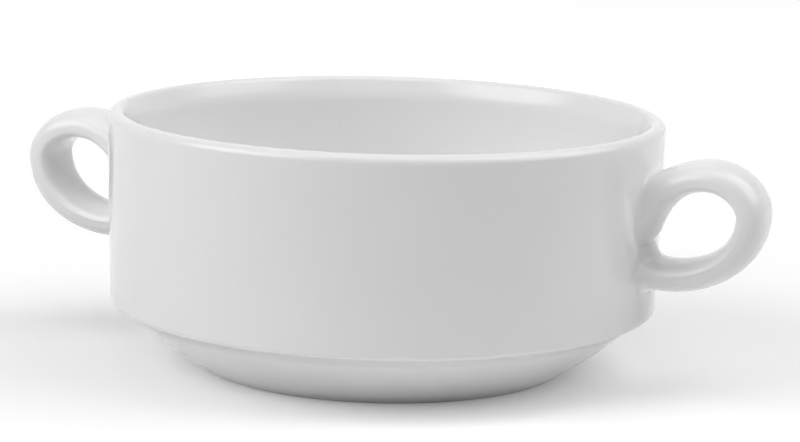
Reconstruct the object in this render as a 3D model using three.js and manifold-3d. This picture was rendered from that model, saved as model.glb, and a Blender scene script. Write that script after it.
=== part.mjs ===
// Stacking bouillon cup in white glazed porcelain: a turned cup body and two ring handles,
// each handle stuck to the wall by two beds of slip.
// Millimetres, +Z up. The origin is on the cup's axis at the foot, and the handles lie along X.
import * as THREE from "three";
import { mergeVertices, toCreasedNormals } from "three/addons/utils/BufferGeometryUtils.js";
import Module from "manifold-3d";

const wasm = await Module();
wasm.setup();

// Cup body, outside
const RIM_RADIUS = 54;
const CUP_HEIGHT = 49.3;
const WALL_TAPER_DEG = 1.05;
const LEDGE_HEIGHT = 12.1;
const BELLY_ROUND = 1.3;
const SPIGOT_HEIGHT = 10;
const SPIGOT_ROUND = 2.5;
const LEDGE_CORNER_ROUND = 0.6;
const BOWL_BOW = 0.45;
const FOOT_RADIUS = 35.6;
const FOOT_ROUND = 2.4;

// Lip: a round crest, then a slope down to the inner wall, where the lip is thickest.
const LIP_THICKNESS = 4.3;
const LIP_CREST = 2.8;
const LIP_SLOPE = 3.6;
const LIP_ROUND = 1.8;
const LIP_INNER_ROUND = 1.4;
const LIP_BLEND_ROUND = 8;

// Cup body, inside and underneath
const INNER_TAPER_DEG = 1.9;
const BOWL_THICKNESS = 4.8;
const BASE_THICKNESS = 4.6;
const INNER_WALL_ROUND = 13;
const INNER_BASE_ROUND = 16;
const FOOT_RING_WIDTH = 3.4;
const FOOT_RECESS = 2.2;
const FOOT_RECESS_ROUND = 1.4;
const FOOT_INNER_ROUND = 0.5;

// The bowl under the ledge slips into the mouth of the cup below with this much room all round.
const STACK_CLEARANCE = 0.8;

// Handle loop: its centreline leaves the wall at two feet and turns down at the tip.
const LOOP_REACH = 18.4;
const FEET_SPACING = 8.5;
const HANDLE_DROP = 1.5;
const TIP_RISE = 6.3;
const UPPER_FOOT_RISE_DEG = 48;
const LOWER_FOOT_DIP_DEG = 22;
const UPPER_FOOT_PULL = 18.6;
const TIP_UPPER_PULL = 3.1;
const TIP_LOWER_PULL = 9.8;
const LOWER_FOOT_PULL = 8.6;
const FOOT_DEPTH = 2;

// Handle strap: away from the finger hole its section is deep and full, towards the hole it is a
// low crown, and a soft ridge runs along each side between the two. It flares towards the wall.
const OUTER_DEPTH = 4.1;
const INNER_DEPTH = 1.8;
const STRAP_WIDTH = 13.2;
const OUTER_SQUARENESS = 2.5;
const INNER_SQUARENESS = 2;
const UPPER_FLARE = 2.8;
const UPPER_FLARE_LENGTH = 12.2;
const LOWER_FLARE = 2.6;
const LOWER_FLARE_LENGTH = 4.2;
const WIDTH_FLARE = 1.5;

// Slip bed between a handle's foot and the wall, and the gap left on each face of it.
const SLIP_THICKNESS = 0.8;
const FACE_GAP = 0.3;

// The share of an edge that the roundings at its two ends may use up.
const EDGE_SHARE = 0.96;

// Fineness of the facets
const TURNS = 64;
const ARC_STEP_DEG = 22.5;
const STRAP_SIDES = 20;
const STRAP_RINGS = 44;
const CREASE_DEG = 40;
const WELD_DISTANCE = 0.0001;

const rad = THREE.MathUtils.degToRad;
const point = (x, y) => new THREE.Vector2(x, y);

// Radius of the outer wall at a height. The wall leans in towards the ledge.
const wallRadius = (z) => RIM_RADIUS - (CUP_HEIGHT - z) * Math.tan(rad(WALL_TAPER_DEG));

// The arc, as points, that turns from a way at a corner. The reach is how far before it the arc starts.
function roundedCorner(corner, way, turn, rounding, reach) {
  const start = corner.clone().addScaledVector(way, -reach);
  const toCentre = point(-way.y, way.x).multiplyScalar(Math.sign(turn) * rounding);
  const centre = start.clone().add(toCentre);
  const steps = Math.ceil(Math.abs(turn) / rad(ARC_STEP_DEG));
  const arc = [];
  for (let i = 0; i <= steps; i++) {
    arc.push(start.clone().rotateAround(centre, (turn * i) / steps));
  }
  return arc;
}

// An outline from corners given as [radius, height, rounding]. Its two ends stay sharp.
// Two roundings that want more than their share of the edge between them are both held to it.
function roundedOutline(corners) {
  const last = corners.length - 1;
  const places = corners.map(([r, z]) => point(r, z));
  const edges = places.slice(1).map((place, i) => place.clone().sub(places[i]));
  const isEnd = (i) => i === 0 || i === last;
  const turn = (i) => Math.atan2(edges[i - 1].cross(edges[i]), edges[i - 1].dot(edges[i]));
  const reach = (i) => (isEnd(i) ? 0 : corners[i][2] * Math.tan(Math.abs(turn(i)) / 2));
  const room = (i) => Math.min(1, (EDGE_SHARE * edges[i].length()) / (reach(i) + reach(i + 1)));
  return places.flatMap((place, i) => {
    if (isEnd(i)) return [place];
    const held = Math.min(room(i - 1), room(i));
    const way = edges[i - 1].clone().normalize();
    return roundedCorner(place, way, turn(i), corners[i][2] * held, reach(i) * held);
  });
}

// A profile of (radius, height) points, from the axis to the axis, turned about +Z.
function revolve(profile) {
  return new THREE.LatheGeometry(profile, TURNS).rotateX(Math.PI / 2);
}

// A closed skin over a row of rings that have equally many points each, with a fan over each end.
// The rings turn right-handed about the way along the row.
function loft(rings) {
  const sides = rings[0].length;
  const last = rings.length - 1;
  const positions = rings.flat().flatMap((p) => p.toArray());
  const middleOf = (ring) => ring.reduce((sum, p) => sum.add(p), new THREE.Vector3()).divideScalar(sides);
  positions.push(...middleOf(rings[0]).toArray(), ...middleOf(rings[last]).toArray());
  const firstHub = rings.length * sides;
  const faces = [];
  for (let j = 0; j < sides; j++) {
    const next = (j + 1) % sides;
    faces.push(firstHub, next, j);
    faces.push(firstHub + 1, last * sides + j, last * sides + next);
    for (let i = 0; i < last; i++) {
      const low = i * sides;
      const high = low + sides;
      faces.push(low + j, low + next, high + next);
      faces.push(low + j, high + next, high + j);
    }
  }
  const geometry = new THREE.BufferGeometry();
  geometry.setAttribute("position", new THREE.Float32BufferAttribute(positions, 3));
  return geometry.setIndex(faces);
}

// A geometry as a solid that can be cut and joined, and back again.
function solidOf(geometry) {
  const bare = geometry.clone().deleteAttribute("normal").deleteAttribute("uv");
  const merged = mergeVertices(bare, WELD_DISTANCE);
  const vertProperties = merged.getAttribute("position").array;
  const triVerts = new Uint32Array(merged.getIndex().array);
  return new wasm.Manifold(new wasm.Mesh({ numProp: 3, vertProperties, triVerts }));
}

function geometryOf(solid) {
  const mesh = solid.getMesh();
  const geometry = new THREE.BufferGeometry();
  geometry.setAttribute("position", new THREE.Float32BufferAttribute(mesh.vertProperties, 3));
  geometry.setIndex([...mesh.triVerts]);
  return toCreasedNormals(geometry, rad(CREASE_DEG));
}

// Profile of the cup body, from the underside's middle round the outside and back down the inside.
function bodyProfile() {
  const mouthRadius = RIM_RADIUS - LIP_THICKNESS;
  const spigotRadius = mouthRadius - STACK_CLEARANCE;
  const bowlSlope = SPIGOT_HEIGHT / (spigotRadius - FOOT_RADIUS);
  const bowlLean = Math.atan(bowlSlope);
  const footInner = FOOT_RADIUS - FOOT_RING_WIDTH;
  const baseTop = FOOT_RECESS + BASE_THICKNESS;

  // The bowl bows out a little half way up, on a corner with a very large rounding.
  const bowMiddle = point((FOOT_RADIUS + spigotRadius) / 2, SPIGOT_HEIGHT / 2);
  bowMiddle.add(point(Math.sin(bowlLean), -Math.cos(bowlLean)).multiplyScalar(2 * BOWL_BOW));
  const bowChord = Math.hypot(spigotRadius - FOOT_RADIUS, SPIGOT_HEIGHT);
  const bowRound = bowChord ** 2 / (8 * BOWL_BOW);

  // The inside of the bowl runs beside the outside. It meets the base and the inner wall at corners.
  const innerRise = BOWL_THICKNESS / Math.cos(bowlLean);
  const baseCorner = FOOT_RADIUS + (baseTop - innerRise) / bowlSlope;
  const innerLean = Math.tan(rad(INNER_TAPER_DEG));
  const lipFoot = CUP_HEIGHT - LIP_SLOPE;
  const bowlAtAxis = innerRise - bowlSlope * FOOT_RADIUS;
  const wallCornerRadius =
    (mouthRadius - innerLean * (lipFoot - bowlAtAxis)) / (1 - innerLean * bowlSlope);
  const wallCornerHeight = bowlAtAxis + bowlSlope * wallCornerRadius;

  return roundedOutline([
    [0, FOOT_RECESS],
    [footInner, FOOT_RECESS, FOOT_RECESS_ROUND],
    [footInner, 0, FOOT_INNER_ROUND],
    [FOOT_RADIUS, 0, FOOT_ROUND],
    [bowMiddle.x, bowMiddle.y, bowRound],
    [spigotRadius, SPIGOT_HEIGHT, SPIGOT_ROUND],
    [spigotRadius, LEDGE_HEIGHT, LEDGE_CORNER_ROUND],
    [wallRadius(LEDGE_HEIGHT), LEDGE_HEIGHT, BELLY_ROUND],
    [RIM_RADIUS, CUP_HEIGHT, LIP_ROUND],
    [RIM_RADIUS - LIP_CREST, CUP_HEIGHT, LIP_INNER_ROUND],
    [mouthRadius, lipFoot, LIP_BLEND_ROUND],
    [wallCornerRadius, wallCornerHeight, INNER_WALL_ROUND],
    [baseCorner, baseTop, INNER_BASE_ROUND],
    [0, baseTop],
  ]);
}

// Centreline of the right-hand loop in the plane of (distance from the axis, height).
// Straight lead-ins carry both ends well inside the wall.
function loopCentreline() {
  const seat = (LEDGE_HEIGHT + CUP_HEIGHT) / 2 - HANDLE_DROP;
  const footRadius = RIM_RADIUS - FOOT_DEPTH;
  const upperFoot = point(footRadius, seat + FEET_SPACING / 2);
  const lowerFoot = point(footRadius, seat - FEET_SPACING / 2);
  const tip = point(RIM_RADIUS + LOOP_REACH, seat + TIP_RISE);
  const rise = rad(UPPER_FOOT_RISE_DEG);
  const dip = rad(LOWER_FOOT_DIP_DEG);
  const upperWay = point(Math.cos(rise), Math.sin(rise));
  const lowerWay = point(Math.cos(dip), -Math.sin(dip));
  const leadIn = 2 * STRAP_WIDTH;
  const line = new THREE.CurvePath();
  line.add(new THREE.LineCurve(upperFoot.clone().addScaledVector(upperWay, -leadIn), upperFoot));
  line.add(
    new THREE.CubicBezierCurve(
      upperFoot,
      upperFoot.clone().addScaledVector(upperWay, UPPER_FOOT_PULL),
      tip.clone().add(point(0, TIP_UPPER_PULL)),
      tip,
    ),
  );
  line.add(
    new THREE.CubicBezierCurve(
      tip,
      tip.clone().sub(point(0, TIP_LOWER_PULL)),
      lowerFoot.clone().addScaledVector(lowerWay, LOWER_FOOT_PULL),
      lowerFoot,
    ),
  );
  line.add(new THREE.LineCurve(lowerFoot, lowerFoot.clone().addScaledVector(lowerWay, -leadIn)));
  return { line, leadIn };
}

// One ring of the strap: two squared half ellipses, back to back across the centreline.
function strapRing(place, way, flare, halfWidth) {
  const ring = [];
  const soft = (value, squareness) => Math.sign(value) * Math.abs(value) ** (2 / squareness);
  for (let j = 0; j < STRAP_SIDES; j++) {
    const angle = (2 * Math.PI * j) / STRAP_SIDES;
    const isOuter = Math.cos(angle) > 0;
    const squareness = isOuter ? OUTER_SQUARENESS : INNER_SQUARENESS;
    const depth = (isOuter ? OUTER_DEPTH : INNER_DEPTH) + flare;
    const across = depth * soft(Math.cos(angle), squareness);
    const aside = -halfWidth * soft(Math.sin(angle), squareness);
    ring.push(new THREE.Vector3(place.x - way.y * across, aside, place.y + way.x * across));
  }
  return ring;
}

// The strap from one share of the centreline's length to another.
function strap(fromShare, toShare, rings) {
  const { line, leadIn } = loopCentreline();
  const length = line.getLength();
  const rows = [];
  for (let i = 0; i <= rings; i++) {
    const share = THREE.MathUtils.lerp(fromShare, toShare, i / rings);
    const fromUpperFoot = share * length - leadIn;
    const fromLowerFoot = (1 - share) * length - leadIn;
    const upper = THREE.MathUtils.clamp(1 - fromUpperFoot / UPPER_FLARE_LENGTH, 0, 1) ** 2;
    const lower = THREE.MathUtils.clamp(1 - fromLowerFoot / LOWER_FLARE_LENGTH, 0, 1) ** 2;
    const flare = UPPER_FLARE * upper + LOWER_FLARE * lower;
    const halfWidth = STRAP_WIDTH / 2 + WIDTH_FLARE * (upper + lower);
    rows.push(strapRing(line.getPointAt(share), line.getTangentAt(share), flare, halfWidth));
  }
  return solidOf(loft(rows));
}

// The whole cup as a plain plug, grown past the wall, that trims what is stuck on it.
function wallPlug(growth) {
  const above = CUP_HEIGHT + RIM_RADIUS;
  const below = -RIM_RADIUS;
  const sideways = growth / Math.cos(rad(WALL_TAPER_DEG));
  return solidOf(
    revolve([
      point(0, below),
      point(wallRadius(below) + sideways, below),
      point(wallRadius(above) + sideways, above),
      point(0, above),
    ]),
  );
}

// Glazed clay, in the cup's white
function glazedClay() {
  return new THREE.MeshStandardMaterial({ color: 0xf0f0ee, roughness: 0.16, metalness: 0 });
}

function piece(name, geometry) {
  const mesh = new THREE.Mesh(geometry, glazedClay());
  mesh.name = name;
  return mesh;
}

// A handle and its two slip beds. The bed lies between two grown plugs, and the handle starts beyond it.
function handleSet(side) {
  const bedInside = wallPlug(FACE_GAP);
  const bedOutside = wallPlug(FACE_GAP + SLIP_THICKNESS);
  const handleInside = wallPlug(2 * FACE_GAP + SLIP_THICKNESS);
  const handle = strap(0, 1, STRAP_RINGS).subtract(handleInside);
  const set = new THREE.Group();
  set.add(piece(`${side}_handle`, geometryOf(handle)));
  const halves = { upper: [0, 0.5], lower: [0.5, 1] };
  for (const [place, [from, to]] of Object.entries(halves)) {
    const bed = strap(from, to, STRAP_RINGS / 2).intersect(bedOutside).subtract(bedInside);
    set.add(piece(`${side}_${place}_joint`, geometryOf(bed)));
  }
  return set;
}

const cup = new THREE.Group();
cup.add(piece("cup_body", revolve(bodyProfile())));
cup.add(handleSet("right"));
const leftSet = handleSet("left");
leftSet.rotation.z = Math.PI;
cup.add(leftSet);

export default cup;
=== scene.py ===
# %% [markdown]
# # A stacking bouillon cup in white porcelain
# A bouillon cup is a low soup cup with a ring handle on each side. This is the stacking kind that
# hotels use: its straight wall ends in a ledge that rests on the lip of the cup below.
# A potter makes it from three pieces of clay. The body is turned in a mould, the two handles are
# cast, and liquid clay, called slip, sticks them on. Then one coat of clear glaze covers it all.
# The lesson follows the same order: turn the body, loft the handles, blend their feet into the
# wall, and glaze the lot.

# %% Load the measured model
import math

import bpy
import numpy as np
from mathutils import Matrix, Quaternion, Vector


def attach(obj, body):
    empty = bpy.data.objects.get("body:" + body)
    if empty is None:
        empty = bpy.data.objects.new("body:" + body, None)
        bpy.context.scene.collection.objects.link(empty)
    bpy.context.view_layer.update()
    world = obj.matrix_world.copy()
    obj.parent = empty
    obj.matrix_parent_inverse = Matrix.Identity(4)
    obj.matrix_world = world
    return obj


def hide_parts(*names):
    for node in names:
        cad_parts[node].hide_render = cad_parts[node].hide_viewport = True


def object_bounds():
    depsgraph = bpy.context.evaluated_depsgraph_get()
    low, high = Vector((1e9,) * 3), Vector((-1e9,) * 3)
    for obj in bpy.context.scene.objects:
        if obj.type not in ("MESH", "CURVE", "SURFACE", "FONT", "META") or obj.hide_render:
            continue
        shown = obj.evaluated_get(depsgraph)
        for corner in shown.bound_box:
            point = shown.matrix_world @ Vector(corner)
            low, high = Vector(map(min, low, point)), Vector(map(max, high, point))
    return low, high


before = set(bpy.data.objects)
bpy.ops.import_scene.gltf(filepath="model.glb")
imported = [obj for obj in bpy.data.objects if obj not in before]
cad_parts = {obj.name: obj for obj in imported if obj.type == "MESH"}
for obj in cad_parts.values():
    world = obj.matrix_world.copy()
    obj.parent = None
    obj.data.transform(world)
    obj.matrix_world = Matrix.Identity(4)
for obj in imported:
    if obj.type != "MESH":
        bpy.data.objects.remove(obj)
cad_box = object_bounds()
MM = 0.001
print("measured size in mm:", [round(side / MM, 1) for side in cad_box[1] - cad_box[0]])

# %% [markdown]
# ## The camera
# The camera comes first, so that every later step can be looked at from the right place.
# It stands about half a metre away with a long lens, a little above the rim, and looks past the
# cup's middle by a few millimetres. A camera could be aimed with a Track To constraint. Here a
# quaternion does it, because the picture is also turned by a degree and a half about the lens.

# %% Place the camera
CAMERA_DISTANCE = 534 * MM
CAMERA_AZIMUTH = 20.93
CAMERA_ELEVATION = 10.88
CAMERA_ROLL = 1.5
AIM_RIGHT = 3.0 * MM
AIM_UP = 3.06 * MM
LENS = 122.7


def toward(azimuth, elevation):
    """The way from the cup to a place in the studio, in degrees from the camera's side."""
    turn = math.radians(CAMERA_AZIMUTH + azimuth)
    lift = math.radians(elevation)
    level = math.cos(lift)
    return Vector((math.sin(turn) * level, -math.cos(turn) * level, math.sin(lift)))


middle = Vector((0, 0, cad_box[1].z / 2))
to_camera = toward(0, CAMERA_ELEVATION)
sideways = toward(90, 0)
aim = middle + sideways * AIM_RIGHT + to_camera.cross(sideways) * AIM_UP
camera = bpy.data.objects.new("camera", bpy.data.cameras.new("camera"))
camera.data.lens = LENS
camera.location = middle + to_camera * CAMERA_DISTANCE
camera.rotation_mode = "QUATERNION"
roll = Quaternion((0, 0, 1), math.radians(CAMERA_ROLL))
camera.rotation_quaternion = (aim - camera.location).to_track_quat("-Z", "Y") @ roll
bpy.context.scene.collection.objects.link(camera)
bpy.context.scene.camera = camera
print("camera at", [round(v, 3) for v in camera.location])

# %% [markdown]
# ## The profile of the body
# A turned pot is one line spun about an axis, so the whole body is in its profile. It could be
# drawn by hand as a curve. Corners with roundings are closer to how a mould maker draws it: each
# corner is given by its radius, its height and how far it is rounded, and a small function turns
# the roundings into arcs.

# %% Round the corners of an outline
ARC_STEP = math.radians(5)
EDGE_SHARE = 0.96


def rounded_outline(corners):
    """Points of an outline given as (radius, height, rounding), with an arc at every rounding.

    Two roundings that want more than their share of the edge between them are both held to it.
    """
    places = [Vector(corner[:2]) for corner in corners]
    edges = [end - start for start, end in zip(places, places[1:])]
    turns = [math.atan2(a.x * b.y - a.y * b.x, a.dot(b)) for a, b in zip(edges, edges[1:])]
    reaches = [corner[2] * math.tan(abs(turn) / 2) for corner, turn in zip(corners[1:], turns)]
    reaches = [0] + reaches + [0]
    wants = [start + end for start, end in zip(reaches, reaches[1:])]
    room = [min(1, EDGE_SHARE * edge.length / want) for edge, want in zip(edges, wants)]
    points = [places[0]]
    for i, turn in enumerate(turns, start=1):
        held = min(room[i - 1], room[i])
        way = edges[i - 1].normalized()
        spoke = Vector((way.y, -way.x)) * math.copysign(corners[i][2] * held, turn)
        centre = places[i] - way * reaches[i] * held - spoke
        steps = max(2, math.ceil(abs(turn) / ARC_STEP))
        for step in range(steps + 1):
            c, s = math.cos(turn * step / steps), math.sin(turn * step / steps)
            points.append(centre + Vector((c * spoke.x - s * spoke.y, s * spoke.x + c * spoke.y)))
    return points + [places[-1]]


# %% Outside of the body
CUP_HEIGHT = cad_box[1].z
RIM_RADIUS = 54 * MM
WALL_TAPER = math.tan(math.radians(1.05))
LIP_THICKNESS = 4.3 * MM
LIP_ROUND = 1.8 * MM
LEDGE_HEIGHT = 12.1 * MM
BELLY_ROUND = 1.3 * MM
SPIGOT_HEIGHT = 10 * MM
SPIGOT_ROUND = 2.5 * MM
LEDGE_CORNER_ROUND = 0.6 * MM
BOWL_BOW = 0.45 * MM
FOOT_RADIUS = 35.6 * MM
FOOT_ROUND = 2.4 * MM
STACK_CLEARANCE = 0.8 * MM
mouth_radius = RIM_RADIUS - LIP_THICKNESS
spigot_radius = mouth_radius - STACK_CLEARANCE


def wall_radius(height):
    """Radius of the outer wall, which leans in a little towards the ledge."""
    return RIM_RADIUS - (CUP_HEIGHT - height) * WALL_TAPER


# The bowl under the ledge bows out, on a corner that is rounded so far that it is one long arc.
bowl_chord = Vector((spigot_radius - FOOT_RADIUS, SPIGOT_HEIGHT))
bow_out = Vector((bowl_chord.y, -bowl_chord.x)).normalized() * 2 * BOWL_BOW
bow_corner = Vector((FOOT_RADIUS, 0)) + bowl_chord / 2 + bow_out
bow_round = bowl_chord.length**2 / (8 * BOWL_BOW)
outside = [
    (FOOT_RADIUS, 0, FOOT_ROUND),
    (bow_corner.x, bow_corner.y, bow_round),
    (spigot_radius, SPIGOT_HEIGHT, SPIGOT_ROUND),
    (spigot_radius, LEDGE_HEIGHT, LEDGE_CORNER_ROUND),
    (wall_radius(LEDGE_HEIGHT), LEDGE_HEIGHT, BELLY_ROUND),
    (RIM_RADIUS, CUP_HEIGHT, LIP_ROUND),
]
print("ledge overhang in mm:", round((wall_radius(LEDGE_HEIGHT) - spigot_radius) / MM, 2))

# %% [markdown]
# ## The inside and the underside
# Hotel porcelain is thick, here about four and a half millimetres. Inside, the wall runs into the
# bowl on wide curves that a spoon can follow. Underneath, a foot ring is left standing round a
# shallow recess, so that the cup doesn't rock. A Solidify modifier could give an even wall, but
# this one changes its thickness on the way, so its inner corners are given too.

# %% Inside and underside of the body
LIP_CREST = 2.8 * MM
LIP_SLOPE = 3.6 * MM
LIP_INNER_ROUND = 1.4 * MM
LIP_BLEND_ROUND = 8 * MM
INNER_TAPER = math.tan(math.radians(1.9))
BOWL_THICKNESS = 4.8 * MM
BASE_THICKNESS = 4.6 * MM
INNER_WALL_ROUND = 13 * MM
INNER_BASE_ROUND = 16 * MM
FOOT_RING_WIDTH = 3.4 * MM
FOOT_RECESS = 2.2 * MM
FOOT_RECESS_ROUND = 1.4 * MM
FOOT_INNER_ROUND = 0.5 * MM
foot_inner = FOOT_RADIUS - FOOT_RING_WIDTH
base_top = FOOT_RECESS + BASE_THICKNESS

# The inside of the bowl is a line beside the outside. It meets the base and the wall at corners.
bowl_slope = bowl_chord.y / bowl_chord.x
inner_rise = BOWL_THICKNESS * bowl_chord.length / bowl_chord.x
base_corner = FOOT_RADIUS + (base_top - inner_rise) / bowl_slope
bowl_at_axis = inner_rise - bowl_slope * FOOT_RADIUS
inner_drop = CUP_HEIGHT - LIP_SLOPE - bowl_at_axis
wall_corner = (mouth_radius - INNER_TAPER * inner_drop) / (1 - INNER_TAPER * bowl_slope)
underside = [
    (0, FOOT_RECESS, 0),
    (foot_inner, FOOT_RECESS, FOOT_RECESS_ROUND),
    (foot_inner, 0, FOOT_INNER_ROUND),
]
inside = [
    (RIM_RADIUS - LIP_CREST, CUP_HEIGHT, LIP_INNER_ROUND),
    (mouth_radius, CUP_HEIGHT - LIP_SLOPE, LIP_BLEND_ROUND),
    (wall_corner, bowl_at_axis + bowl_slope * wall_corner, INNER_WALL_ROUND),
    (base_corner, base_top, INNER_BASE_ROUND),
    (0, base_top, 0),
]
profile = rounded_outline(underside + outside + inside)
print("profile points:", len(profile))

# %% [markdown]
# ## Turning the body
# Blender's Screw modifier spins a line about an axis, as the potter's wheel does. It is applied
# here, so that the faces are real and can take two finishes: the foot ring is wiped free of glaze
# before firing, because glaze would stick it to the kiln shelf.

# %% Spin the profile
TURNS = 256
MERGE_GAP = 0.001 * MM


def mesh_object(name, points, edges, faces):
    """A new object from bare points, edges and faces, in the scene."""
    mesh = bpy.data.meshes.new(name)
    mesh.from_pydata([tuple(point) for point in points], edges, faces)
    thing = bpy.data.objects.new(name, mesh)
    bpy.context.scene.collection.objects.link(thing)
    return thing


line = [(point.x, 0, point.y) for point in profile]
links = [(i, i + 1) for i in range(len(line) - 1)]
cup = mesh_object("turned_cup", line, links, [])
wheel = cup.modifiers.new("wheel", "SCREW")
wheel.steps = TURNS
wheel.render_steps = TURNS
wheel.use_merge_vertices = True
wheel.merge_threshold = MERGE_GAP
wheel.use_normal_calculate = True
spun = cup.evaluated_get(bpy.context.evaluated_depsgraph_get())
cup.data = bpy.data.meshes.new_from_object(spun)
cup.data.name = "turned_cup"
cup.modifiers.clear()
cup.data.shade_smooth()
print("body faces:", len(cup.data.polygons))

# %% [markdown]
# ## The line of the handle
# The loop leaves the wall steeply at its upper foot, rounds the tip, and comes back nearly level
# to the lower foot. Two cubic Bezier curves that share an upright tangent at the tip follow it.
# Straight lead-ins carry the line on into the wall, so that the strap can be trimmed there. A
# Bezier curve object could draw the same line. Plain points are easier to measure along.

# %% Sample the centreline
LOOP_REACH = 18.4 * MM
FEET_SPACING = 8.5 * MM
HANDLE_DROP = 1.5 * MM
TIP_RISE = 6.3 * MM
UPPER_FOOT_RISE = math.radians(48)
LOWER_FOOT_DIP = math.radians(22)
UPPER_FOOT_PULL = 18.6 * MM
TIP_UPPER_PULL = 3.1 * MM
TIP_LOWER_PULL = 9.8 * MM
LOWER_FOOT_PULL = 8.6 * MM
FOOT_DEPTH = 2 * MM
LEAD_IN = 25 * MM
LINE_SAMPLES = 400


def bezier(start, pull, push, end):
    """Points along a cubic Bezier curve."""
    t = np.linspace(0, 1, LINE_SAMPLES)[:, None]
    u = 1 - t
    return u**3 * start + 3 * u * u * t * pull + 3 * u * t * t * push + t**3 * end


seat = (LEDGE_HEIGHT + CUP_HEIGHT) / 2 - HANDLE_DROP
upper_foot = np.array((RIM_RADIUS - FOOT_DEPTH, seat + FEET_SPACING / 2))
lower_foot = np.array((RIM_RADIUS - FOOT_DEPTH, seat - FEET_SPACING / 2))
tip = np.array((RIM_RADIUS + LOOP_REACH, seat + TIP_RISE))
upper_way = np.array((math.cos(UPPER_FOOT_RISE), math.sin(UPPER_FOOT_RISE)))
lower_way = np.array((math.cos(LOWER_FOOT_DIP), -math.sin(LOWER_FOOT_DIP)))
up = np.array((0, 1))
upper_pull = upper_foot + upper_way * UPPER_FOOT_PULL
lower_pull = lower_foot + lower_way * LOWER_FOOT_PULL
over = bezier(upper_foot, upper_pull, tip + up * TIP_UPPER_PULL, tip)
under = bezier(tip, tip - up * TIP_LOWER_PULL, lower_pull, lower_foot)
lead_share = np.linspace(1, 0, LINE_SAMPLES)[:, None]
lead_in = upper_foot - upper_way * LEAD_IN * lead_share
lead_out = lower_foot - lower_way * LEAD_IN * (1 - lead_share)
loop = np.vstack((lead_in[:-1], over, under[1:], lead_out[1:]))
strides = np.linalg.norm(np.diff(loop, axis=0), axis=1)
along = np.concatenate(([0], np.cumsum(strides))) - LEAD_IN
loop_length = along[-1] - LEAD_IN
loop_way = np.gradient(loop, along, axis=0)
loop_way /= np.linalg.norm(loop_way, axis=1)[:, None]
print("loop length between the feet in mm:", round(loop_length / MM, 1))

# %% [markdown]
# ## The strap of the handle
# A cast handle has a soft-edged flat section, wider than it is thick, that swells where it meets
# the wall. Two half ellipses make it: the outer one is deep and full, the one that faces the hole
# is a low crown, and a soft ridge runs along each side between the two. A curve with a bevel could
# sweep it, but a function that gives any point of the skin is handier, because the feet have to be
# trimmed and blended line by line. On the lower arm a fine seam is left beside that ridge, where
# the halves of the plaster mould met. A wet sponge has rounded it, and on the upper arm, where the
# thumb rests, it is gone.

# %% A point on the strap's skin
OUTER_DEPTH = 4.1 * MM
INNER_DEPTH = 1.8 * MM
STRAP_WIDTH = 13.2 * MM
OUTER_SQUARENESS = 2.5
INNER_SQUARENESS = 2
UPPER_FLARE = 2.8 * MM
UPPER_FLARE_LENGTH = 12.2 * MM
LOWER_FLARE = 2.6 * MM
LOWER_FLARE_LENGTH = 4.2 * MM
WIDTH_FLARE = 1.5 * MM
SEAM_HEIGHT = 0.18 * MM
SEAM_HALF = 0.32 * MM
SEAM_PLACE = 0.4 * MM
SEAM_STARTS = 0.5
SEAM_FULL = 0.65


def strap_skin(distance, angle):
    """Points of the skin at distances along the loop and angles round the section."""
    place_out = np.interp(distance, along, loop[:, 0])
    place_up = np.interp(distance, along, loop[:, 1])
    way_out = np.interp(distance, along, loop_way[:, 0])
    way_up = np.interp(distance, along, loop_way[:, 1])
    upper = np.clip(1 - distance / UPPER_FLARE_LENGTH, 0, 1) ** 2
    lower = np.clip(1 - (loop_length - distance) / LOWER_FLARE_LENGTH, 0, 1) ** 2
    half_width = STRAP_WIDTH / 2 + WIDTH_FLARE * (upper + lower)
    is_outer = np.cos(angle) > 0
    power = 2 / np.where(is_outer, OUTER_SQUARENESS, INNER_SQUARENESS)
    plain_depth = np.where(is_outer, OUTER_DEPTH, INNER_DEPTH)
    depth = plain_depth + UPPER_FLARE * upper + LOWER_FLARE * lower
    across = depth * np.sign(np.cos(angle)) * np.abs(np.cos(angle)) ** power
    aside = half_width * np.sign(np.sin(angle)) * np.abs(np.sin(angle)) ** power
    grown = np.clip((distance / loop_length - SEAM_STARTS) / (SEAM_FULL - SEAM_STARTS), 0, 1)
    seam = SEAM_HEIGHT * grown * np.exp(-(((across - SEAM_PLACE) / SEAM_HALF) ** 2))
    aside = aside + np.sign(np.sin(angle)) * seam
    return np.stack((place_out - way_up * across, aside, place_up + way_out * across), axis=-1)


outer_face, inner_face = strap_skin(loop_length / 2, np.array((0, math.pi)))
print("strap thickness half way in mm:", round(np.linalg.norm(outer_face - inner_face) / MM, 2))

# %% [markdown]
# ## Blending the feet into the wall
# Slip is squeezed out round the foot and smoothed with a wet brush, so the handle runs into the
# wall on a small hollow curve. A Bevel modifier could round the join of two merged meshes, but not
# so evenly. Here, on every line along the strap, the script finds where it comes near the wall and
# where it would meet it, and rounds that corner with a quadratic Bezier curve that ends flush with
# the wall.

# %% Where each line of the strap meets the wall
STRAP_LINES = 128
SIDE_CROWDING = 0.7
SEARCH_STEPS = 3000
angles = np.linspace(0, 2 * math.pi, STRAP_LINES, endpoint=False)
angles = angles + SIDE_CROWDING * np.sin(2 * angles) / 2
search_from = {"upper": -LEAD_IN, "lower": loop_length + LEAD_IN}


def off_wall(points):
    """How far points stand off the outer wall."""
    return np.hypot(points[..., 0], points[..., 1]) - wall_radius(points[..., 2])


def meeting(clearance, half):
    """Distance along the loop at which each line last stands off the wall by its clearance."""
    distances = np.linspace(search_from[half], loop_length / 2, SEARCH_STEPS)[:, None]
    clear = off_wall(strap_skin(distances, angles[None, :])) - clearance[None, :]
    first = SEARCH_STEPS - np.argmax(clear[::-1] < 0, axis=0)
    first = np.clip(first, 1, SEARCH_STEPS - 1)
    columns = np.arange(STRAP_LINES)
    before, after = clear[first - 1, columns], clear[first, columns]
    share = before / (before - after)
    return distances[first - 1, 0] + share * (distances[first, 0] - distances[first - 1, 0])


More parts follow.
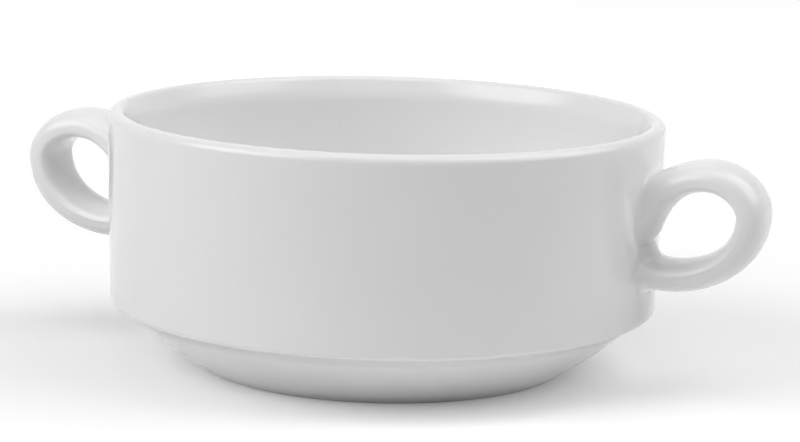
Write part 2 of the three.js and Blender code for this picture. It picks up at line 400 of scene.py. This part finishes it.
for half in ("upper", "lower"):
    meets = meeting(np.zeros(STRAP_LINES), half) / MM
    print(half, "foot meets the wall from", meets.min().round(1), "to", meets.max().round(1), "mm")

# %% The rounded foot
SLIP_ROUND = {"upper": 1.8 * MM, "lower": 1.5 * MM}
SLIP_SIDE_ROUND = 1.3 * MM
SLIP_WAVER = 0.22
SECOND_WAVER = 0.6
SECOND_PHASE = 2.3
SLIP_STEPS = 10
ANGLE_NUDGE = 0.01
LANDING_DEPTH = 0.01 * MM
SKIRT = 0.8 * MM
SKIRT_DEPTH = 0.25 * MM


def onto_wall(points, depth):
    """The points moved level to lie under the wall's skin by a depth."""
    reach = (wall_radius(points[:, 2]) - depth) / np.hypot(points[:, 0], points[:, 1])
    return np.stack((points[:, 0] * reach, points[:, 1] * reach, points[:, 2]), axis=-1)


def slip_foot(half, phase):
    """Rings from the strap down to the wall and a skirt under it, with where the strap starts."""
    waver = np.sin(2 * angles + phase) + SECOND_WAVER * np.sin(3 * angles + SECOND_PHASE * phase)
    beside = np.sin(angles) ** 2
    even_size = SLIP_ROUND[half] * (1 - beside) + SLIP_SIDE_ROUND * beside
    size = even_size * (1 + SLIP_WAVER * waver)
    start = meeting(size, half)
    corner_at = meeting(np.zeros(STRAP_LINES), half)
    top = strap_skin(start, angles)
    corner = strap_skin(corner_at, angles)
    before = strap_skin(corner_at, angles - ANGLE_NUDGE)
    after = strap_skin(corner_at, angles + ANGLE_NUDGE)
    skin_out = np.cross(after - before, corner - top)
    inward = np.einsum("ij,ij->i", skin_out, corner - corner.mean(axis=0)) < 0
    skin_out[inward] *= -1
    lean = np.full(STRAP_LINES, -WALL_TAPER * RIM_RADIUS)
    wall_out = np.stack((corner[:, 0], corner[:, 1], lean), axis=-1)
    wall_out /= np.linalg.norm(wall_out, axis=1)[:, None]
    spread = skin_out - wall_out * np.einsum("ij,ij->i", skin_out, wall_out)[:, None]
    spread /= np.linalg.norm(spread, axis=1)[:, None]
    landing = onto_wall(corner + spread * size[:, None], LANDING_DEPTH)
    rings = []
    for step in range(1, SLIP_STEPS + 1):
        t = step / SLIP_STEPS
        rings.append((1 - t) ** 2 * top + 2 * t * (1 - t) * corner + t * t * landing)
    rings.append(onto_wall(landing + spread * SKIRT, SKIRT_DEPTH))
    return start, rings


# %% [markdown]
# ## Lofting the handle
# Rings of points run from one foot round the loop to the other, and faces fill between them. The
# Bridge Edge Loops tool does the same by hand. Here the rings are known in order, so a loop writes
# the faces. The last ring at each end lies just under the wall's skin and is closed by one face,
# so the handle is a solid shape and no open edge shows. The left handle is the right one, turned
# half a turn, but its slip wavers in its own way, as a brush never works the same twice.

# %% Build both handles
STRAP_RINGS = 150
SLIP_PHASES = {"right": 0.4, "left": 2.9}
LOWER_PHASE_STEP = 1.7


def ring_handle(side):
    """A closed handle mesh on the right or the left side."""
    upper_start, upper_rings = slip_foot("upper", SLIP_PHASES[side])
    lower_start, lower_rings = slip_foot("lower", SLIP_PHASES[side] + LOWER_PHASE_STEP)
    strap_rings = []
    for share in np.linspace(0, 1, STRAP_RINGS):
        strap_rings.append(strap_skin(upper_start + share * (lower_start - upper_start), angles))
    rings = upper_rings[::-1] + strap_rings + lower_rings
    points = np.vstack(rings)
    if side == "left":
        points = points * (-1, -1, 1)
    faces = []
    for ring_start in range(0, (len(rings) - 1) * STRAP_LINES, STRAP_LINES):
        for column in range(STRAP_LINES):
            here, there = ring_start + column, ring_start + (column + 1) % STRAP_LINES
            faces.append((here, here + STRAP_LINES, there + STRAP_LINES, there))
    last = (len(rings) - 1) * STRAP_LINES
    faces.append(tuple(range(STRAP_LINES)))
    faces.append(tuple(range(last + STRAP_LINES - 1, last - 1, -1)))
    handle = mesh_object(f"{side}_ring_handle", points, [], faces)
    handle.data.shade_smooth()
    print(handle.name, "faces:", len(faces))
    return handle


right_handle = ring_handle("right")
left_handle = ring_handle("left")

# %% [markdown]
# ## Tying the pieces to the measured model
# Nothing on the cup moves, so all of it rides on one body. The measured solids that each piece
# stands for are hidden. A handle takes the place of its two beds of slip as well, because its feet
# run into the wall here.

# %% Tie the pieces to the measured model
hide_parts("cup_body")
for side, handle in (("right", right_handle), ("left", left_handle)):
    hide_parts(f"{side}_handle", f"{side}_upper_joint", f"{side}_lower_joint")
for piece in (cup, right_handle, left_handle):
    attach(piece, "root")
print("pieces:", [piece.name for piece in (cup, right_handle, left_handle)])

# %% [markdown]
# ## The glaze
# Porcelain is white clay fired until it is dense. A dipped coat of clear feldspar glaze melts over
# it like glass. To the eye that is an almost even white with a sharp gloss on top. Close up, the
# gloss wavers a little like orange peel, the white is faintly cloudy, and there is a rare speck or
# pinhole. The hollow corners are painted greyer, partly for glaze that ran together there and
# partly as painted shade. The clay and its glaze could be two layers with a Coat. One Principled
# shader does, because its own gloss is already a clear skin over the colour.

# %% Helpers for materials


def linear(hex_colour):
    """An sRGB hex colour as the linear numbers that shaders work with."""
    channels = [int(hex_colour[i : i + 2], 16) / 255 for i in (1, 3, 5)]
    straight = [c / 12.92 if c <= 0.04045 else ((c + 0.055) / 1.055) ** 2.4 for c in channels]
    return (*straight, 1)


def node(tree, kind, inputs, **settings):
    """Adds one node, with its settings, and its inputs set to values or linked to sockets."""
    made = tree.nodes.new(kind)
    for name, value in settings.items():
        setattr(made, name, value)
    for name, value in inputs.items():
        if isinstance(value, bpy.types.NodeSocket):
            tree.links.new(value, made.inputs[name])
        else:
            made.inputs[name].default_value = value
    return made


def new_material(name):
    """An empty material and its node tree."""
    material = bpy.data.materials.new(name)
    material.use_nodes = True
    material.node_tree.nodes.clear()
    return material, material.node_tree


print("a middle grey in linear numbers:", [round(c, 3) for c in linear("#808080")])

# %% Colour of the clay and the glaze
CLAY_WHITE = "#F6F6F6"
CLAY_CLOUD = "#F2F2F2"
# Grey for the hollow corners: partly glaze that pooled there, partly painted shade.
POOLED_GLAZE_AND_SHADE = "#E2E2E2"
SPECK_GREY = "#D2CEC7"
SPECK_SPACING = 11 * MM
SPECK_RADIUS = 0.22 * MM
SPECK_STRENGTH = 0.7
POOL_AND_SHADE_REACH = 2.5 * MM
POOL_AND_SHADE_DEEP, POOL_AND_SHADE_SHALLOW = 0.2, 0.7
POOL_AND_SHADE_STRENGTH = 0.8
POOL_AND_SHADE_SAMPLES = 8

# The sockets of a Mix node that is set to colours: its share, its two colours and its result.
MIX_SHARE, MIX_FIRST, MIX_SECOND, MIX_RESULT = 0, 6, 7, 2


def clay_colour(tree, place, cloud):
    """White clay, faintly cloudy, rare specks, and painted shade with pooled glaze in hollows."""
    clay = node(
        tree, "ShaderNodeMix",
        {MIX_SHARE: cloud, MIX_FIRST: linear(CLAY_WHITE), MIX_SECOND: linear(CLAY_CLOUD)},
        data_type="RGBA",
    ).outputs[MIX_RESULT]
    specks = node(tree, "ShaderNodeTexVoronoi", {"Vector": place, "Scale": 1 / SPECK_SPACING})
    speck = node(
        tree, "ShaderNodeMapRange",
        {
            "Value": specks.outputs["Distance"], "From Max": SPECK_RADIUS / SPECK_SPACING,
            "To Min": SPECK_STRENGTH, "To Max": 0,
        },
    ).outputs[0]
    specked = node(
        tree, "ShaderNodeMix",
        {MIX_SHARE: speck, MIX_FIRST: clay, MIX_SECOND: linear(SPECK_GREY)}, data_type="RGBA",
    ).outputs[MIX_RESULT]
    # Ambient occlusion greys the hollow corners: partly pooled glaze, partly painted shade.
    hollow = node(
        tree, "ShaderNodeAmbientOcclusion", {"Distance": POOL_AND_SHADE_REACH}, samples=POOL_AND_SHADE_SAMPLES,
    )
    pool_and_shade = node(
        tree, "ShaderNodeMapRange",
        {
            "Value": hollow.outputs["AO"], "From Min": POOL_AND_SHADE_DEEP, "From Max": POOL_AND_SHADE_SHALLOW,
            "To Min": POOL_AND_SHADE_STRENGTH, "To Max": 0,
        },
    ).outputs[0]
    return node(
        tree, "ShaderNodeMix",
        {MIX_SHARE: pool_and_shade, MIX_FIRST: specked, MIX_SECOND: linear(POOLED_GLAZE_AND_SHADE)}, data_type="RGBA",
    ).outputs[MIX_RESULT]


print("clay white in linear numbers:", [round(c, 3) for c in linear(CLAY_WHITE)])

# %% Relief of the glaze
WAVE_SIZE = 11 * MM
WAVE_HEIGHT = 0.012 * MM
PEEL_SIZE = 2.4 * MM
PEEL_HEIGHT = 0.0012 * MM
PINHOLE_SPACING = 13 * MM
PINHOLE_RADIUS = 0.3 * MM
PINHOLE_DEPTH = 0.06 * MM


def glaze_relief(tree, place):
    """Height of the glaze: long waves, orange peel and pinholes, as a bent normal."""
    wave = node(tree, "ShaderNodeTexNoise", {"Vector": place, "Scale": 1 / WAVE_SIZE, "Detail": 1})
    peel = node(tree, "ShaderNodeTexNoise", {"Vector": place, "Scale": 1 / PEEL_SIZE, "Detail": 2})
    holes = node(tree, "ShaderNodeTexVoronoi", {"Vector": place, "Scale": 1 / PINHOLE_SPACING})
    hole = node(
        tree, "ShaderNodeMapRange",
        {
            "Value": holes.outputs["Distance"], "From Max": PINHOLE_RADIUS / PINHOLE_SPACING,
            "To Min": -PINHOLE_DEPTH, "To Max": 0,
        },
    ).outputs[0]
    swell = node(
        tree, "ShaderNodeMath", {0: wave.outputs[0], 1: WAVE_HEIGHT, 2: hole},
        operation="MULTIPLY_ADD",
    ).outputs[0]
    height = node(
        tree, "ShaderNodeMath", {0: peel.outputs[0], 1: PEEL_HEIGHT, 2: swell},
        operation="MULTIPLY_ADD",
    ).outputs[0]
    bump = node(tree, "ShaderNodeBump", {"Height": height, "Distance": 1.0, "Strength": 1.0})
    return bump.outputs["Normal"]


print("relief in mm: waves", round(WAVE_HEIGHT / MM, 3), "pinholes", round(PINHOLE_DEPTH / MM, 3))

# %% Clear glaze on white porcelain
CLOUD_SIZE = 26 * MM
CLOUD_LOW, CLOUD_HIGH = 0.3, 0.7
GLAZE_IOR = 1.52
SHARP_GLOSS, SOFT_GLOSS = 0.07, 0.11
SCATTER_SHARE = 0.15
SCATTER_DEPTH = 1.2 * MM
SCATTER_BY_COLOUR = (1.0, 0.95, 0.9)


def glazed_porcelain():
    """White clay under a clear gloss glaze."""
    material, tree = new_material("glazed_porcelain")
    place = node(tree, "ShaderNodeTexCoord", {}).outputs["Object"]
    cloud = node(
        tree, "ShaderNodeTexNoise", {"Vector": place, "Scale": 1 / CLOUD_SIZE, "Detail": 3},
    ).outputs[0]
    gloss = node(
        tree, "ShaderNodeMapRange",
        {
            "Value": cloud, "From Min": CLOUD_LOW, "From Max": CLOUD_HIGH,
            "To Min": SHARP_GLOSS, "To Max": SOFT_GLOSS,
        },
    ).outputs[0]
    shader = node(
        tree, "ShaderNodeBsdfPrincipled",
        {
            "Base Color": clay_colour(tree, place, cloud), "Roughness": gloss, "IOR": GLAZE_IOR,
            "Normal": glaze_relief(tree, place), "Subsurface Weight": SCATTER_SHARE,
            "Subsurface Radius": SCATTER_BY_COLOUR, "Subsurface Scale": SCATTER_DEPTH,
        },
    )
    node(tree, "ShaderNodeOutputMaterial", {"Surface": shader.outputs[0]})
    return material


porcelain = glazed_porcelain()
for piece in (cup, right_handle, left_handle):
    piece.data.materials.clear()
    piece.data.materials.append(porcelain)
print("glazed:", porcelain.name)

# %% [markdown]
# ## The ground foot
# The foot ring stands on the kiln shelf without glaze and is ground smooth afterwards. Bare
# porcelain is dull, a little creamier, and feels like fine sandpaper. Its grit is too fine to see
# from here, so it is drawn about three times as coarse. The ring could be a piece of its own. It is
# one with the body, so a second material on its faces is truer.

# %% Bare ground porcelain
BARE_CLAY = "#E2DED6"
BARE_CLAY_DARK = "#CFC9BF"
BARE_ROUGHNESS = 0.75
BARE_IOR = 1.5
GRIT_SIZE = 0.45 * MM
GRIT_HEIGHT = 0.03 * MM
BARE_HEIGHT = 0.35 * MM


def ground_porcelain():
    """Fired clay with no glaze, ground flat."""
    material, tree = new_material("ground_porcelain")
    place = node(tree, "ShaderNodeTexCoord", {}).outputs["Object"]
    grit = node(
        tree, "ShaderNodeTexNoise", {"Vector": place, "Scale": 1 / GRIT_SIZE, "Detail": 4},
    ).outputs[0]
    colour = node(
        tree, "ShaderNodeMix",
        {MIX_SHARE: grit, MIX_FIRST: linear(BARE_CLAY), MIX_SECOND: linear(BARE_CLAY_DARK)},
        data_type="RGBA",
    ).outputs[MIX_RESULT]
    bump = node(tree, "ShaderNodeBump", {"Height": grit, "Distance": GRIT_HEIGHT, "Strength": 1.0})
    shader = node(
        tree, "ShaderNodeBsdfPrincipled",
        {
            "Base Color": colour, "Roughness": BARE_ROUGHNESS, "IOR": BARE_IOR,
            "Normal": bump.outputs["Normal"],
        },
    )
    node(tree, "ShaderNodeOutputMaterial", {"Surface": shader.outputs[0]})
    return material


cup.data.materials.append(ground_porcelain())
bare = [face for face in cup.data.polygons if face.center.z < BARE_HEIGHT]
for face in bare:
    face.material_index = 1
print("bare faces on the foot ring:", len(bare))

# %% [markdown]
# ## The floor
# The cup stands on a white card that takes its shadow and throws light back up under the bowl.
# The card fades into a table of pale grey, so a little less light comes back from further off, and
# the wall is brighter near the ledge than near the lip. In the picture the floor is white. More
# light could do that, but it would bleach the cup. So the floor is lifted to white only for the
# camera and for what the glaze mirrors. Close to the foot the lift is small, and the shadow stays.

# %% Lay the floor
FLOOR_HALF = 3000 * MM
CARD_WHITE = "#F5F5F5"
TABLE_PALE = "#DADADA"
PURE_WHITE = "#FFFFFF"
CARD_RADIUS = 120 * MM
TABLE_RADIUS = 350 * MM
CARD_LIFT = 0.2
TABLE_LIFT = 0.66
LIFT_FROM = 60 * MM
LIFT_TO = 450 * MM


def seen_ray(tree):
    """1 for what the camera sees, straight on or by way of gloss or glass, and 0 for the rest."""
    rays = node(tree, "ShaderNodeLightPath", {}).outputs
    seen = rays["Is Camera Ray"]
    for other in ("Is Glossy Ray", "Is Transmission Ray"):
        either = node(tree, "ShaderNodeMath", {0: seen, 1: rays[other]}, operation="MAXIMUM")
        seen = either.outputs[0]
    return seen


def card_on_table():
    """Dull white card that fades into a pale table, lifted to white where it is seen."""
    material, tree = new_material("card_on_table")
    place = node(tree, "ShaderNodeTexCoord", {}).outputs["Object"]
    distance = node(tree, "ShaderNodeVectorMath", {0: place}, operation="LENGTH").outputs["Value"]
    table = node(
        tree, "ShaderNodeMapRange",
        {"Value": distance, "From Min": CARD_RADIUS, "From Max": TABLE_RADIUS},
    ).outputs[0]
    colour = node(
        tree, "ShaderNodeMix",
        {MIX_SHARE: table, MIX_FIRST: linear(CARD_WHITE), MIX_SECOND: linear(TABLE_PALE)},
        data_type="RGBA",
    ).outputs[MIX_RESULT]
    level = node(
        tree, "ShaderNodeMapRange",
        {
            "Value": distance, "From Min": LIFT_FROM, "From Max": LIFT_TO,
            "To Min": CARD_LIFT, "To Max": TABLE_LIFT,
        },
    ).outputs[0]
    lift = node(
        tree, "ShaderNodeMath", {0: seen_ray(tree), 1: level}, operation="MULTIPLY",
    ).outputs[0]
    dull = node(tree, "ShaderNodeBsdfDiffuse", {"Color": colour})
    glow = node(tree, "ShaderNodeEmission", {"Color": linear(PURE_WHITE), "Strength": lift})
    both = node(tree, "ShaderNodeAddShader", {0: dull.outputs[0], 1: glow.outputs[0]})
    node(tree, "ShaderNodeOutputMaterial", {"Surface": both.outputs[0]})
    return material


corners = [(x * FLOOR_HALF, y * FLOOR_HALF, 0) for x, y in ((-1, -1), (1, -1), (1, 1), (-1, 1))]
floor = mesh_object("studio_floor", corners, [], [(0, 1, 2, 3)])
floor.data.materials.append(card_on_table())
print("floor side in m:", 2 * FLOOR_HALF)

# %% [markdown]
# ## The studio light
# Soft boxes stand to the left and right of the camera and one hangs overhead. Each is an area
# light. A glowing plane could do the same, but an area light renders with less noise. Its
# brightness is that of the cloth, and the watts follow from the size, so a larger box keeps its
# cloth as bright. The cloth of a real box is brightest in front of the bulb and fades to its
# edges, and so do the highlights.

# %% Hang the soft boxes
# Each box: azimuth and elevation in degrees, width and height in metres, brightness.
SOFT_BOXES = {
    "left_box": (-65, 35, 1.35, 0.9, 3.21),
    "right_box": (88, 48, 1.35, 1.35, 2.35),
    "top_box": (-30, 77, 1.2, 1.1, 1.29),
}
BOX_DISTANCE = 1100 * MM
CLOTH_MIDDLE = (0.5, 0.5, 0)
BRIGHT_MIDDLE = 0.2
DARK_EDGE = 0.6


def soft_box(name, azimuth, elevation, width, height, brightness):
    """An area light that faces the cup."""
    lamp = bpy.data.lights.new(name, "AREA")
    lamp.shape = "RECTANGLE"
    lamp.size = width
    lamp.size_y = height
    lamp.energy = brightness * math.pi * width * height
    lamp.use_nodes = True
    tree = lamp.node_tree
    tree.nodes.clear()
    across = node(tree, "ShaderNodeNewGeometry", {}).outputs["Parametric"]
    off_middle = node(
        tree, "ShaderNodeVectorMath", {0: across, 1: CLOTH_MIDDLE}, operation="DISTANCE",
    ).outputs["Value"]
    cloth = node(
        tree, "ShaderNodeMapRange",
        {
            "Value": off_middle, "From Min": BRIGHT_MIDDLE, "From Max": DARK_EDGE,
            "To Min": 1, "To Max": 0,
        },
        interpolation_type="SMOOTHSTEP",
    ).outputs[0]
    glow = node(tree, "ShaderNodeEmission", {"Strength": cloth})
    node(tree, "ShaderNodeOutputLight", {"Surface": glow.outputs[0]})
    box = bpy.data.objects.new(name, lamp)
    box.location = middle + toward(azimuth, elevation) * BOX_DISTANCE
    box.rotation_mode = "QUATERNION"
    box.rotation_quaternion = (middle - box.location).to_track_quat("-Z", "Y")
    box.visible_camera = False
    bpy.context.scene.collection.objects.link(box)
    return box


for name, settings in SOFT_BOXES.items():
    box = soft_box(name, *settings)
    print(name, "watts:", round(box.data.energy, 2))

# %% [markdown]
# ## The room
# The walls of the studio are pale. They send a little light back from all sides, and the glaze
# mirrors them. Planes round the cup could stand for them. The world does it with less: it lights
# the cup faintly and is white where it is seen or mirrored.

# %% Light the room
ROOM_LIGHT = 0.05
ROOM_SEEN = 1.0
room = bpy.data.worlds.new("pale_room")
room.use_nodes = True
tree = room.node_tree
tree.nodes.clear()
level = node(
    tree, "ShaderNodeMapRange",
    {"Value": seen_ray(tree), "To Min": ROOM_LIGHT, "To Max": ROOM_SEEN},
).outputs[0]
walls = node(tree, "ShaderNodeBackground", {"Color": linear(PURE_WHITE), "Strength": level})
node(tree, "ShaderNodeOutputWorld", {"Surface": walls.outputs[0]})
bpy.context.scene.world = room
bpy.context.scene.view_settings.view_transform = "Standard"
print("room light:", ROOM_LIGHT, "and as seen:", ROOM_SEEN)
